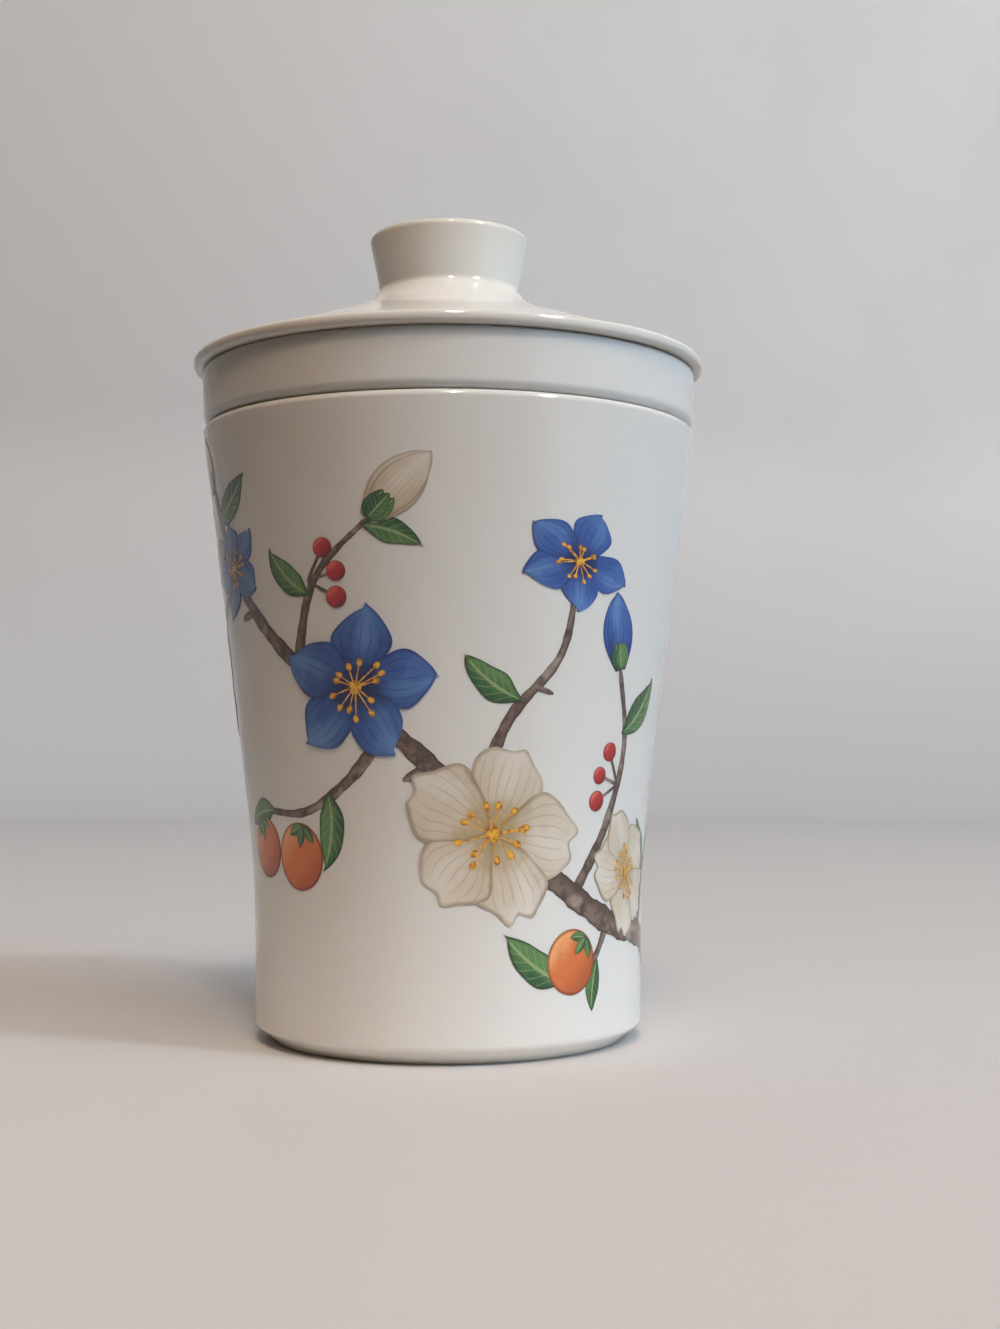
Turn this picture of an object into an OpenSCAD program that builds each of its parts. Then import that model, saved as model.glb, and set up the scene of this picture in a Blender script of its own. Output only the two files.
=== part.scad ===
// Lidded porcelain tea cup with a lift-out strainer, in millimetres.
// The axis of the cup is Z, and the foot ring stands on Z = 0.
// Every piece is a revolved profile, written as corners with a rounding each.

/* [Cup] */
// Height of the cup from the table to its rim
cup_h = 100.7; // [88:0.1:125]
// Outside diameter at the rim
rim_d = 82.2; // [74:0.2:100]
// Outside diameter of the straight lower part
base_d = 64.2; // [56:0.2:70]
// Height at which the flare leaves the straight part
flare_z = 27; // [18:0.5:36]
// Radius of the long bend from the straight part into the flare
flare_bend = 200; // [80:5:220]
// Thickness of the cup's wall
cup_wall = 3.3; // [2.6:0.1:4.2]
// Thickness of the cup's floor
cup_floor = 3.8; // [2.6:0.1:6]
// Rounding of the rim's outer edge
rim_round = 1; // [0.4:0.1:1.2]
// Rounding of the rim's inner edge
rim_in_round = 0.6; // [0.3:0.1:0.8]
// Rounding inside the cup, where the wall meets the floor
cup_hollow_round = 8; // [3:0.5:12]

/* [Foot] */
// Height of the bevel between the wall and the foot ring
bevel_h = 2.6; // [1.8:0.1:4]
// Width of that bevel
bevel_w = 3.2; // [2:0.1:5]
// Rounding of the bevel's upper edge
bevel_round = 1.2; // [0.4:0.1:1.6]
// Width of the ring that stands on the table
foot_w = 2.6; // [1.6:0.1:5]
// Depth of the recess inside the foot ring
foot_recess = 1.6; // [0.8:0.1:3]
// Rounding of the foot ring's edges and of the recess
foot_edge = 0.7; // [0.2:0.05:0.75]

/* [Strainer collar] */
// Height of the collar over the cup's rim
collar_h = 9.4; // [7:0.1:12]
// How far the top of the collar stands out past the rim
collar_step = 0.2; // [0:0.1:1.5]
// How much smaller in radius the collar is at its foot than at its top
collar_draft = 0.35; // [0:0.05:0.8]
// Thickness of the collar's wall
collar_wall = 3; // [2.4:0.1:4]
// Thickness of the ledge that rests on the cup's rim
ledge_t = 2.9; // [2.2:0.1:3.5]
// Rounding of the collar's lower outer edge
collar_round = 1.7; // [0.5:0.1:1.9]
// Rounding of the collar's upper edges
collar_edge = 0.8; // [0.3:0.1:1.1]

/* [Strainer basket] */
// Depth of the basket below the cup's rim
basket_depth = 55; // [35:1:70]
// Clearance between the basket and the cup's wall
basket_gap = 1.2; // [0.8:0.1:3]
// Thickness of the basket's wall
basket_wall = 2.4; // [1.8:0.1:3.2]
// Thickness of the basket's floor
basket_floor = 2.6; // [1.8:0.1:4]
// Rounding inside the basket, where the wall meets the floor
basket_round = 4; // [1:0.5:6]
// Diameter of the drain holes
hole_d = 2.4; // [1.6:0.1:3.2]
// Spacing of the drain holes
hole_pitch = 6.6; // [5:0.1:9]
// Rows of drain holes in the basket's wall
hole_rows = 3; // [0:1:4]

/* [Lid] */
// How far the brim stands out past the collar
brim_over = 1.4; // [0.6:0.1:3]
// Thickness of the brim
brim_t = 2; // [1.8:0.1:3.2]
// Rounding of the brim's edge
brim_edge = 0.9; // [0.5:0.1:1.2]
// Width of the margin between the brim's edge and the dome
brim_margin = 2.8; // [2.4:0.1:4]
// Rise of the dome from the brim to the knob's seat
dome_rise = 8.2; // [6.5:0.1:11]
// Rounding from the brim's margin into the dome
dome_round = 4; // [1:0.5:4]
// Radius of the dome's curve
dome_curve = 400; // [120:10:500]
// Thickness of the dome
dome_t = 3; // [2.4:0.1:4]
// Clearance between the lid's flange and the collar
flange_gap = 1; // [0.6:0.1:2]
// Thickness of the flange
flange_wall = 2.6; // [2:0.1:3.4]
// Depth of the flange below the brim
flange_h = 4; // [2.5:0.1:4.2]
// Rounding of the flange's edges
flange_edge = 0.8; // [0.3:0.1:0.9]

/* [Knob] */
// Diameter of the knob's foot on the dome
knob_foot_d = 35.2; // [33:0.2:38]
// Diameter of the knob at its waist
knob_waist_d = 23.4; // [21:0.2:26]
// Slope, in degrees, of the sweep from the foot where it ends at the waist
waist_slope = 54; // [44:1:66]
// Rounding of the corner at the waist
knob_fillet = 1.2; // [0.5:0.1:1.6]
// Diameter of the knob at its top
knob_top_d = 27; // [25:0.2:32]
// Height of the knob over its seat
knob_h = 13.7; // [11:0.1:17]
// Rounding of the knob's top edge
knob_edge = 0.9; // [0.5:0.1:1.4]
// Depth of the dish in the knob's top
knob_dish = 1.1; // [0.3:0.1:1.8]
// Width of the rim round the dish
knob_rim = 2.6; // [2:0.1:4]

/* [Hidden] */
// Facets of a full turn, and the widest step along a rounding
$fn = 96;
step_deg = 10;
// Least number of steps along a rounding
min_steps = 8;
// Largest share of a wall that the rounding of one edge takes
edge_share = 0.475;
// How far a drain hole's tool runs past the wall it pierces
hole_over = 2;
// Count of drain holes in the first ring, by which later rings grow
ring_hole_count = 6;
PORCELAIN = [0.93, 0.92, 0.89];
WARM_PORCELAIN = [0.90, 0.89, 0.85];

// Cup, outside and inside
rim_r = rim_d / 2;
base_r = base_d / 2;
flare = atan((rim_r - base_r) / (cup_h - flare_z));
// A slanted wall is wider when measured level
slant = 1 / cos(flare);
hollow_r = base_r - cup_wall;
hollow_bend_z = flare_z + cup_wall * tan(flare / 2);
hollow_z = foot_recess + cup_floor;
foot_r = base_r - bevel_w;
foot_in_r = foot_r - foot_w;

// Strainer, hung in the cup by its ledge
collar_z = cup_h + collar_h;
collar_r = rim_r + collar_step;
collar_in_r = collar_r - collar_wall;
ledge_z = cup_h + ledge_t;
basket_z = cup_h - basket_depth;
basket_floor_z = basket_z + basket_floor;

// Lid, seated on the collar
brim_r = collar_r + brim_over;
brim_z = collar_z + brim_t;
flange_r = collar_in_r - flange_gap;
flange_in_r = flange_r - flange_wall;
brim_round = min(brim_edge, brim_t * edge_share);
flange_round = min(flange_edge, flange_wall * edge_share);
seat_z = brim_z + dome_rise;

// Dome, and the knob that is luted to a flat seat on it
dome_foot = [brim_r - brim_margin, brim_z];
dome_head = [knob_foot_d / 2, seat_z];
dome_c = arc_centre(dome_foot, dome_head, dome_curve);
dome_slope = 90 - turn(dome_c, dome_head);
// The knob's sweep leaves the dome at the dome's slope and ends at the waist
sweep_r = (dome_head[0] - knob_waist_d / 2) / (sin(waist_slope) - sin(dome_slope));
sweep_c = dome_head + sweep_r * [sin(dome_slope), cos(dome_slope)];
waist = sweep_c - sweep_r * [sin(waist_slope), cos(waist_slope)];
knob_top = [knob_top_d / 2, seat_z + knob_h];

// Radius inside the flared part of the cup's wall, at height z
function flared_r(z, inset) = rim_r - inset * slant - (cup_h - z) * tan(flare);
function basket_r(z) = flared_r(z, cup_wall + basket_gap);
function basket_in_r(z) = flared_r(z, cup_wall + basket_gap + basket_wall);

// Direction, in degrees, from point c to point p
function turn(c, p) = atan2(p[1] - c[1], p[0] - c[0]);
// Centre of an arc of radius r that bulges up and out from p to q
function arc_centre(p, q, r) =
    let (half = (q - p) / 2)
    let (fall = sqrt(r * r - half * half))
    (p + q) / 2 - fall * [half[1], -half[0]] / norm(half);
// Points of an arc about c, from angle a to angle b
function arc(c, r, a, b) =
    let (n = max(min_steps, ceil(abs(b - a) / step_deg)))
    [for (i = [0:n]) c + r * [cos(a + (b - a) * i / n), sin(a + (b - a) * i / n)]];
// The same without the point at b, from b's side to a where back is true
function open_arc(c, r, a, b, back = false) =
    let (points = arc(c, r, a, b))
    let (last = len(points) - 2)
    [for (i = [0:last]) points[back ? last - i : i]];
// Corner b of an outline a, b, c as an arc of radius r that touches both sides
function corner(a, b, c, r) =
    let (u = (a - b) / norm(a - b))
    let (v = (c - b) / norm(c - b))
    let (half = acos(u * v) / 2)
    let (o = b + (u + v) / norm(u + v) * r / sin(half))
    let (from = turn(o, b + u * r / tan(half)))
    let (to = turn(o, b + v * r / tan(half)))
    arc(o, r, from, from + (to - from + 540) % 360 - 180);
function flat2(p) = [p[0], p[1]];
// Outline through corners [radius, height, rounding]
function rounded(path) =
    [for (i = [0:len(path) - 1])
        let (p = path[i])
        let (before = path[(i + len(path) - 1) % len(path)])
        let (after = path[(i + 1) % len(path)])
        each p[2] > 0 ? corner(flat2(before), flat2(p), flat2(after), p[2]) : [flat2(p)]];
function plain(points) = [for (p = points) [p[0], p[1], 0]];

module revolve(path) rotate_extrude() polygon(rounded(path));

// Holes at one pitch round a circle of radius r
function holes_round(r) =
    ring_hole_count * max(1, floor(2 * PI * r / hole_pitch / ring_hole_count));

module floor_holes() {
    flat_r = basket_in_r(basket_floor_z) - basket_round - hole_d;
    for (ring = [0:floor(flat_r / hole_pitch)]) {
        n = ring == 0 ? 1 : holes_round(ring * hole_pitch);
        for (i = [0:n - 1])
            rotate(i * 360 / n)
                translate([ring * hole_pitch, 0, basket_z - hole_over])
                    cylinder(d = hole_d, h = basket_floor + 2 * hole_over);
    }
}

module wall_holes() {
    n = holes_round(basket_r(basket_floor_z));
    for (row = [1:1:hole_rows]) {
        z = basket_floor_z + basket_round + (row - 0.5) * hole_pitch;
        for (i = [0:n - 1])
            rotate((i + row / 2) * 360 / n)
                translate([basket_in_r(z) - hole_over, 0, z])
                    rotate([0, 90, 0])
                        cylinder(d = hole_d, h = basket_wall * slant + 2 * hole_over);
    }
}

module cup_body() {
    color(PORCELAIN)
        revolve([
            [0, foot_recess, 0],
            [foot_in_r, foot_recess, foot_edge],
            [foot_in_r, 0, foot_edge],
            [foot_r, 0, foot_edge],
            [base_r, bevel_h, bevel_round],
            [base_r, flare_z, flare_bend],
            [rim_r, cup_h, rim_round],
            [flared_r(cup_h, cup_wall), cup_h, rim_in_round],
            [hollow_r, hollow_bend_z, flare_bend + cup_wall],
            [hollow_r, hollow_z, cup_hollow_round],
            [0, hollow_z, 0]
        ]);
}

module strainer() {
    color(WARM_PORCELAIN)
        difference() {
            revolve([
                [0, basket_z, 0],
                [basket_r(basket_z), basket_z, basket_round],
                [basket_r(cup_h), cup_h, basket_gap / 2],
                [collar_r - collar_draft, cup_h, collar_round],
                [collar_r, collar_z, collar_edge],
                [collar_in_r, collar_z, collar_edge],
                [collar_in_r, ledge_z, collar_edge],
                [basket_in_r(ledge_z), ledge_z, collar_edge],
                [basket_in_r(basket_floor_z), basket_floor_z, basket_round],
                [0, basket_floor_z, 0]
            ]);
            floor_holes();
            wall_holes();
        }
}

module lid() {
    // The dome's underside runs parallel to its outside, down to the flange
    under = dome_curve - dome_t;
    under_head = dome_c + under * [sin(dome_slope), cos(dome_slope)];
    under_foot_a = acos((flange_in_r - dome_c[0]) / under);
    under_foot_z = dome_c[1] + under * sin(under_foot_a);
    color(PORCELAIN)
        revolve(concat(
            [
                [0, under_head[1], 0]
            ],
            plain(open_arc(dome_c, under, 90 - dome_slope, under_foot_a)),
            [
                [flange_in_r, under_foot_z, flange_round],
                [flange_in_r, collar_z - flange_h, flange_round],
                [flange_r, collar_z - flange_h, flange_round],
                [flange_r, collar_z, flange_gap / 2],
                [brim_r, collar_z, brim_round],
                [brim_r, brim_z, brim_round],
                [dome_foot[0], dome_foot[1], dome_round]
            ],
            plain(open_arc(dome_c, dome_curve, 90 - dome_slope, turn(dome_c, dome_foot), true)),
            [
                [0, seat_z, 0]
            ]
        ));
}

module lid_knob() {
    dish_r = knob_top[0] - knob_rim;
    dish_curve = (dish_r * dish_r + knob_dish * knob_dish) / (2 * knob_dish);
    dish_c = [0, knob_top[1] - knob_dish + dish_curve];
    dish_edge = [dish_r, knob_top[1]];
    color(WARM_PORCELAIN)
        revolve(concat(
            [
                [0, seat_z, 0]
            ],
            plain(open_arc(sweep_c, sweep_r, 270 - dome_slope, 270 - waist_slope)),
            [
                [waist[0], waist[1], knob_fillet],
                [knob_top[0], knob_top[1], knob_edge]
            ],
            plain(arc(dish_c, dish_curve, turn(dish_c, dish_edge), -90))
        ));
}

cup_body();
strainer();
lid();
lid_knob();
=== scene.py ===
"""Dresses a lidded porcelain tea cup with a lift-out strainer: glaze, fired print, light and view.

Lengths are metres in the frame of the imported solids, with +Z up and the front of the cup towards -Y.
The print alone is laid out in millimetres, on a flat plan of the cup's outside: x runs round the cup
from its front, positive to the right as seen from there, and z runs up from the foot.
"""

from __future__ import annotations

import logging
import math
import random
from dataclasses import dataclass, replace
from enum import Enum
from typing import ClassVar

import bpy
import numpy as np
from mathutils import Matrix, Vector

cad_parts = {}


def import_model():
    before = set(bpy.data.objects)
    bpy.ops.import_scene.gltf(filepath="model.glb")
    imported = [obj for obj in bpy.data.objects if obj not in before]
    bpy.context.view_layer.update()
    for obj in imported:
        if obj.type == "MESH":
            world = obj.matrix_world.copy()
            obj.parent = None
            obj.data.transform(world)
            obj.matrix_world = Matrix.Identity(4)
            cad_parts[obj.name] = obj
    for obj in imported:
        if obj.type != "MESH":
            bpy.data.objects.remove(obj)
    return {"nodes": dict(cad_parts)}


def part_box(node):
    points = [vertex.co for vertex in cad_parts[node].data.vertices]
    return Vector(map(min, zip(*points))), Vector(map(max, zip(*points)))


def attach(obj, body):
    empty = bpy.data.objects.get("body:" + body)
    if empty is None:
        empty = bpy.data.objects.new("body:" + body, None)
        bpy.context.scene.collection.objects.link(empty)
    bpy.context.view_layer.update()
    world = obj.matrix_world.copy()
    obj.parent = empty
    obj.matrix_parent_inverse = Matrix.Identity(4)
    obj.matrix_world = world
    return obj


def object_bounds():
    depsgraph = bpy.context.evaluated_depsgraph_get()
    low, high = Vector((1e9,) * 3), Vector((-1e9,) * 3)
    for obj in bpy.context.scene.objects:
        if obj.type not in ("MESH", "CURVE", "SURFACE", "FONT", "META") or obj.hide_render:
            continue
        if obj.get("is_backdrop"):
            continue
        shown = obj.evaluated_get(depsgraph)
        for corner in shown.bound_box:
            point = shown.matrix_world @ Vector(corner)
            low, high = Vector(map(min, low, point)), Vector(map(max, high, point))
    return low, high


LOG = logging.getLogger("tea_cup")
MM = 0.001
BAKE_MAP = "OFBake"
FILM_VALUES = ("along", "across", "edge", "tone")
Colour = tuple[float, float, float]
Point = tuple[float, float]


def paint(red: int, green: int, blue: int) -> Colour:
    """Turns a colour as a screen shows it into the light values that a shader takes.

    Args:
        red: Red, 0 to 255.
        green: Green, 0 to 255.
        blue: Blue, 0 to 255.

    Returns:
        The three values from 0 to 1.
    """
    parts = [part / 255 for part in (red, green, blue)]
    return tuple(p / 12.92 if p < 0.04045 else ((p + 0.055) / 1.055) ** 2.4 for p in parts)


class Value:
    """A number that varies over a surface: one socket, for use in Python expressions."""

    def __init__(self, graph: Graph, socket: bpy.types.NodeSocket) -> None:
        """Wraps an output socket of a graph."""
        self.graph = graph
        self.socket = socket

    def __add__(self, other: Operand) -> Value:
        """Adds."""
        return self.graph.math("ADD", self, other)

    def __radd__(self, other: Operand) -> Value:
        """Adds, from the right."""
        return self.graph.math("ADD", other, self)

    def __sub__(self, other: Operand) -> Value:
        """Subtracts."""
        return self.graph.math("SUBTRACT", self, other)

    def __rsub__(self, other: Operand) -> Value:
        """Subtracts this from a number."""
        return self.graph.math("SUBTRACT", other, self)

    def __mul__(self, other: Operand) -> Value:
        """Multiplies."""
        return self.graph.math("MULTIPLY", self, other)

    def __rmul__(self, other: Operand) -> Value:
        """Multiplies, from the right."""
        return self.graph.math("MULTIPLY", other, self)

    def __pow__(self, other: Operand) -> Value:
        """Raises to a power."""
        return self.graph.math("POWER", self, other)

    def __mod__(self, other: Operand) -> Value:
        """Gives the remainder, which is never negative."""
        return self.graph.math("FLOORED_MODULO", self, other)

    def __abs__(self) -> Value:
        """Gives the size without the sign."""
        return self.graph.math("ABSOLUTE", self)

    def band(self, low: float, high: float) -> Value:
        """Rises smoothly from 0 at low to 1 at high, or falls where high is the lower.

        Args:
            low: Where it is 0.
            high: Where it is 1.

        Returns:
            The mask.
        """
        ends = {"From Min": low, "From Max": high, "Value": self}
        node = self.graph.node("ShaderNodeMapRange", {"interpolation_type": "SMOOTHSTEP"}, ends)
        return Value(self.graph, node.outputs["Result"])


Operand = Value | float
Feed = Value | bpy.types.NodeSocket | float | Colour


class Graph:
    """The shader nodes of one material."""

    def __init__(self, name: str) -> None:
        """Makes a material of that name with no nodes yet."""
        self.material = bpy.data.materials.new(name)
        self.material.use_nodes = True
        self.tree = self.material.node_tree
        self.tree.nodes.clear()
        self.place = self.node("ShaderNodeTexCoord").outputs["Object"]
        axes = self.node("ShaderNodeSeparateXYZ", {}, {"Vector": self.place}).outputs
        self.x, self.y, self.height = (Value(self, axes[axis]) for axis in "XYZ")

    def node(self, kind: str, settings: dict | None = None, feeds: dict | None = None) -> bpy.types.Node:
        """Adds a node.

        Args:
            kind: The node's type.
            settings: Its properties, set first.
            feeds: What its input sockets get, by name or number.

        Returns:
            The node.
        """
        node = self.tree.nodes.new(kind)
        for name, setting in (settings or {}).items():
            setattr(node, name, setting)
        for key, feed in (feeds or {}).items():
            self.feed(node.inputs[key], feed)
        return node

    def feed(self, socket: bpy.types.NodeSocket, feed: Feed) -> None:
        """Links an input socket to a value, or sets it to a number or a colour."""
        if isinstance(feed, Value):
            feed = feed.socket
        if isinstance(feed, bpy.types.NodeSocket):
            self.tree.links.new(feed, socket)
        elif isinstance(feed, tuple) and socket.type == "RGBA":
            socket.default_value = (*feed, 1.0)
        else:
            socket.default_value = feed

    def math(self, operation: str, *operands: Operand) -> Value:
        """Adds a Math node for one or two operands and gives its result."""
        node = self.node("ShaderNodeMath", {"operation": operation}, dict(enumerate(operands)))
        return Value(self, node.outputs[0])

    def mix(self, share: Operand, first: Feed, second: Feed) -> bpy.types.NodeSocket:
        """Mixes two colours.

        Args:
            share: How much of the second colour shows, from 0 to 1.
            first: The colour at 0.
            second: The colour at 1.

        Returns:
            The socket of the mixed colour.
        """
        node = self.node("ShaderNodeMix", {"data_type": "RGBA"}, {0: share, 6: first, 7: second})
        return node.outputs[2]

    def noise(self, per_metre: float, detail: float) -> Value:
        """Gives soft random patches from 0 to 1, fixed to the piece.

        Args:
            per_metre: How many patches lie along one metre.
            detail: How many finer layers are added.

        Returns:
            The value.
        """
        feeds = {"Vector": self.place, "Scale": per_metre, "Detail": detail}
        return Value(self, self.node("ShaderNodeTexNoise", {}, feeds).outputs[0])

    def film(self) -> tuple[Value, ...]:
        """Reads what a film holds at its points: along, across, edge and tone."""
        nodes = [self.node("ShaderNodeAttribute", {"attribute_name": name}) for name in FILM_VALUES]
        return tuple(Value(self, node.outputs["Fac"]) for node in nodes)

    def surface(self, feeds: dict) -> bpy.types.Material:
        """Ends the graph in a Principled shader.

        Args:
            feeds: What the shader's sockets get.

        Returns:
            The finished material.
        """
        shader = self.node("ShaderNodeBsdfPrincipled", {}, feeds)
        self.node("ShaderNodeOutputMaterial", {}, {"Surface": shader.outputs["BSDF"]})
        return self.material


@dataclass(frozen=True)
class Gloss:
    """The glassy skin of a fired glaze: how clear it is and how it waves."""

    roughness: float = 0.055
    smudge: float = 0.05
    smudge_per_metre: float = 55.0
    wave_height: float = 7e-6
    wave_per_metre: float = 75.0
    peel_height: float = 3e-7
    peel_per_metre: float = 900.0

    def sheen(self, graph: Graph) -> Value:
        """Gives the roughness, a little duller where hands have touched it."""
        touched = graph.noise(self.smudge_per_metre, 4.0).band(0.52, 0.75)
        return self.roughness + self.smudge * touched

    def relief(self, graph: Graph) -> bpy.types.NodeSocket:
        """Gives the normal of a glaze that has flowed: long waves and a fine orange peel."""
        wave = graph.noise(self.wave_per_metre, 1.0) * self.wave_height
        peel = graph.noise(self.peel_per_metre, 1.0) * self.peel_height
        feeds = {"Strength": 1.0, "Distance": 1.0, "Height": wave + peel}
        return graph.node("ShaderNodeBump", {}, feeds).outputs["Normal"]


@dataclass(frozen=True)
class Porcelain:
    """White porcelain under a clear glaze."""

    white: Colour
    cool: Colour = paint(207, 211, 215)
    cool_share: float = 0.55
    warm: Colour = paint(212, 206, 196)
    warm_share: float = 0.45
    drift_per_metre: float = 28.0
    cloud_share: float = 0.12
    cloud_per_metre: float = 160.0
    speck: Colour = paint(120, 98, 74)
    speck_share: float = 0.3
    speck_per_metre: float = 650.0
    biscuit: Colour = paint(206, 196, 182)
    biscuit_roughness: float = 0.75
    foot_bare: float = 0.0
    bare_ends: tuple[float, float] = (1.3, 1.05)
    ragged_share: float = 0.3
    ragged_per_metre: float = 260.0
    stain: float = 0.0
    stain_per_metre: float = 120.0
    stain_colour: Colour = paint(170, 128, 84)
    stain_foot: float = 0.0
    stain_reach: float = 0.03
    depth_share: float = 0.25
    depth_by_colour: Colour = (1.0, 0.7, 0.45)
    depth: float = 2.0 * MM
    gloss: Gloss = Gloss()

    def material(self, name: str) -> bpy.types.Material:
        """Builds the finish.

        Args:
            name: The material's name.

        Returns:
            The material.
        """
        graph = Graph(name)
        drift = graph.noise(self.drift_per_metre, 2.0)
        body = graph.mix(drift.band(0.50, 0.80) * self.cool_share, self.white, self.cool)
        body = graph.mix(drift.band(0.48, 0.22) * self.warm_share, body, self.warm)
        cloud = graph.noise(self.cloud_per_metre, 5.0)
        body = graph.mix(cloud.band(0.45, 0.85) * self.cloud_share, body, self.warm)
        grain = graph.noise(self.speck_per_metre, 1.0)
        body = graph.mix(grain.band(0.82, 0.88) * self.speck_share, body, self.speck)
        sheen = self.gloss.sheen(graph)
        if self.stain:
            low = graph.height.band(self.stain_foot + self.stain_reach, self.stain_foot)
            patch = graph.noise(self.stain_per_metre, 4.0).band(0.35, 0.75)
            body = graph.mix(low * patch * self.stain, body, self.stain_colour)
        if self.foot_bare:
            ragged = graph.noise(self.ragged_per_metre, 3.0) * (self.ragged_share * self.foot_bare)
            low, high = (share * self.foot_bare for share in self.bare_ends)
            bare = (graph.height + ragged).band(low, high)
            body = graph.mix(bare, body, self.biscuit)
            sheen = sheen + bare * (self.biscuit_roughness - self.gloss.roughness)
        feeds = {
            "Base Color": body,
            "Roughness": sheen,
            "Normal": self.gloss.relief(graph),
            "Subsurface Weight": self.depth_share,
            "Subsurface Radius": self.depth_by_colour,
            "Subsurface Scale": self.depth,
        }
        return graph.surface(feeds)


class Ink(Enum):
    """The fired colours of the print, each on its own piece of film."""

    BARK = "print_bark"
    LEAF = "print_leaf"
    FRUIT = "print_fruit"
    BLUE = "print_blue_petal"
    CREAM = "print_cream_petal"
    STAMEN = "print_stamen"
    BERRY = "print_berry"


class FiredInk:
    """An ink that is fired into the glaze and shares its gloss."""

    gloss: ClassVar[Gloss] = Gloss()

    def blend(self, graph: Graph) -> bpy.types.NodeSocket:
        """Mixes the ink's colour, each ink in its own way."""
        raise NotImplementedError

    def material(self, name: str) -> bpy.types.Material:
        """Builds the ink as a material of that name."""
        graph = Graph(name)
        feeds = {
            "Base Color": self.blend(graph),
            "Roughness": self.gloss.sheen(graph),
            "Normal": self.gloss.relief(graph),
        }
        return graph.surface(feeds)


@dataclass(frozen=True)
class PetalInk(FiredInk):
    """A petal washed from its foot to its tip, with a fan of veins and a fine outline."""

    foot: Colour
    body: Colour
    tip: Colour
    vein: Colour
    outline: Colour
    veins: float
    vein_share: float
    outline_share: float
    ridge_share: float = 0.5
    pool_share: float = 0.3
    wash_per_metre: float = 420.0
    blot_per_metre: float = 150.0

    def blend(self, graph: Graph) -> bpy.types.NodeSocket:
        """Mixes the ink's colour."""
        along, across, edge, tone = graph.film()
        wash, blot = graph.noise(self.wash_per_metre, 4.0), graph.noise(self.blot_per_metre, 2.0)
        wet = wash - 0.5
        colour = graph.mix((along + wet * 0.6).band(0.02, 0.5), self.foot, self.body)
        colour = graph.mix((along + wet * 0.8).band(0.45, 1.0) * (0.35 + tone * 0.5), colour, self.tip)
        ridge = abs(across + tone * 0.9 - 0.45 + wet * 0.6).band(0.55, 0.05) * along.band(0.2, 0.6)
        colour = graph.mix(ridge * self.ridge_share, colour, self.tip)
        side = (across + wet * 0.8).band(0.1, 1.0) * (0.3 + tone * 0.4)
        colour = graph.mix(side, colour, self.body)
        pool = (blot + wet * 0.5).band(0.48, 0.72) * abs(across).band(0.3, 0.9)
        colour = graph.mix(pool * self.pool_share, colour, self.vein)
        line = abs((across * self.veins + wet * 0.5) % 1.0 - 0.5) * 2.0
        vein = line.band(0.72, 0.98) * along.band(0.04, 0.25) * along.band(0.95, 0.6)
        colour = graph.mix(vein * (0.4 + blot) * self.vein_share, colour, self.vein)
        shade = along.band(0.3, 0.0) * (0.4 + wash * 0.5)
        colour = graph.mix(shade, colour, self.foot)
        rim = (edge + wet * 0.08).band(0.86, 0.98) * blot.band(0.2, 0.6)
        colour = graph.mix(rim * self.outline_share, colour, self.outline)
        return colour


@dataclass(frozen=True)
class FruitInk(FiredInk):
    """A round fruit, lit from the upper left, with pored skin."""

    light: Colour = paint(230, 164, 108)
    body: Colour = paint(202, 112, 64)
    shade: Colour = paint(150, 72, 42)
    outline: Colour = paint(104, 54, 38)
    outline_share: float = 0.75
    wash_per_metre: float = 520.0
    pores_per_metre: float = 2600.0
    pores_share: float = 0.28

    def blend(self, graph: Graph) -> bpy.types.NodeSocket:
        """Mixes the ink's colour."""
        along, across, edge, tone = graph.film()
        wet = graph.noise(self.wash_per_metre, 4.0) - 0.5
        turn = along * 0.7 - across * 0.6 + wet * 0.5
        colour = graph.mix(turn.band(0.1, 0.9), self.body, self.light)
        colour = graph.mix(turn.band(0.0, -0.8) * (0.6 + tone * 0.4), colour, self.shade)
        pores = graph.noise(self.pores_per_metre, 1.0).band(0.62, 0.74)
        colour = graph.mix(pores * self.pores_share, colour, self.shade)
        colour = graph.mix((edge + wet * 0.06).band(0.88, 0.98) * self.outline_share, colour, self.outline)
        return colour


@dataclass(frozen=True)
class LeafInk(FiredInk):
    """A leaf with a pale midrib, slanting side veins and a dark outline."""

    dark: Colour = paint(40, 82, 48)
    light: Colour = paint(88, 128, 78)
    rib: Colour = paint(146, 166, 114)
    outline: Colour = paint(34, 58, 38)
    rib_share: float = 0.8
    vein_share: float = 0.5
    outline_share: float = 0.8
    wash_per_metre: float = 480.0
    side_veins: float = 7.0
    vein_slant: float = 1.6

    def blend(self, graph: Graph) -> bpy.types.NodeSocket:
        """Mixes the ink's colour."""
        along, across, edge, tone = graph.film()
        wash = graph.noise(self.wash_per_metre, 4.0)
        lit = (across * 0.5 + wash + tone * 0.5).band(0.35, 1.25)
        colour = graph.mix(lit, self.dark, self.light)
        slanted = (along * self.side_veins - abs(across) * self.vein_slant) % 1.0
        vein = slanted.band(0.80, 0.95) * slanted.band(1.0, 0.97)
        colour = graph.mix(vein * self.vein_share, colour, self.rib)
        colour = graph.mix(abs(across).band(0.16, 0.05) * self.rib_share, colour, self.rib)
        rim = (edge + (wash - 0.5) * 0.08).band(0.82, 0.97)
        colour = graph.mix(rim * self.outline_share, colour, self.outline)
        return colour


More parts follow.
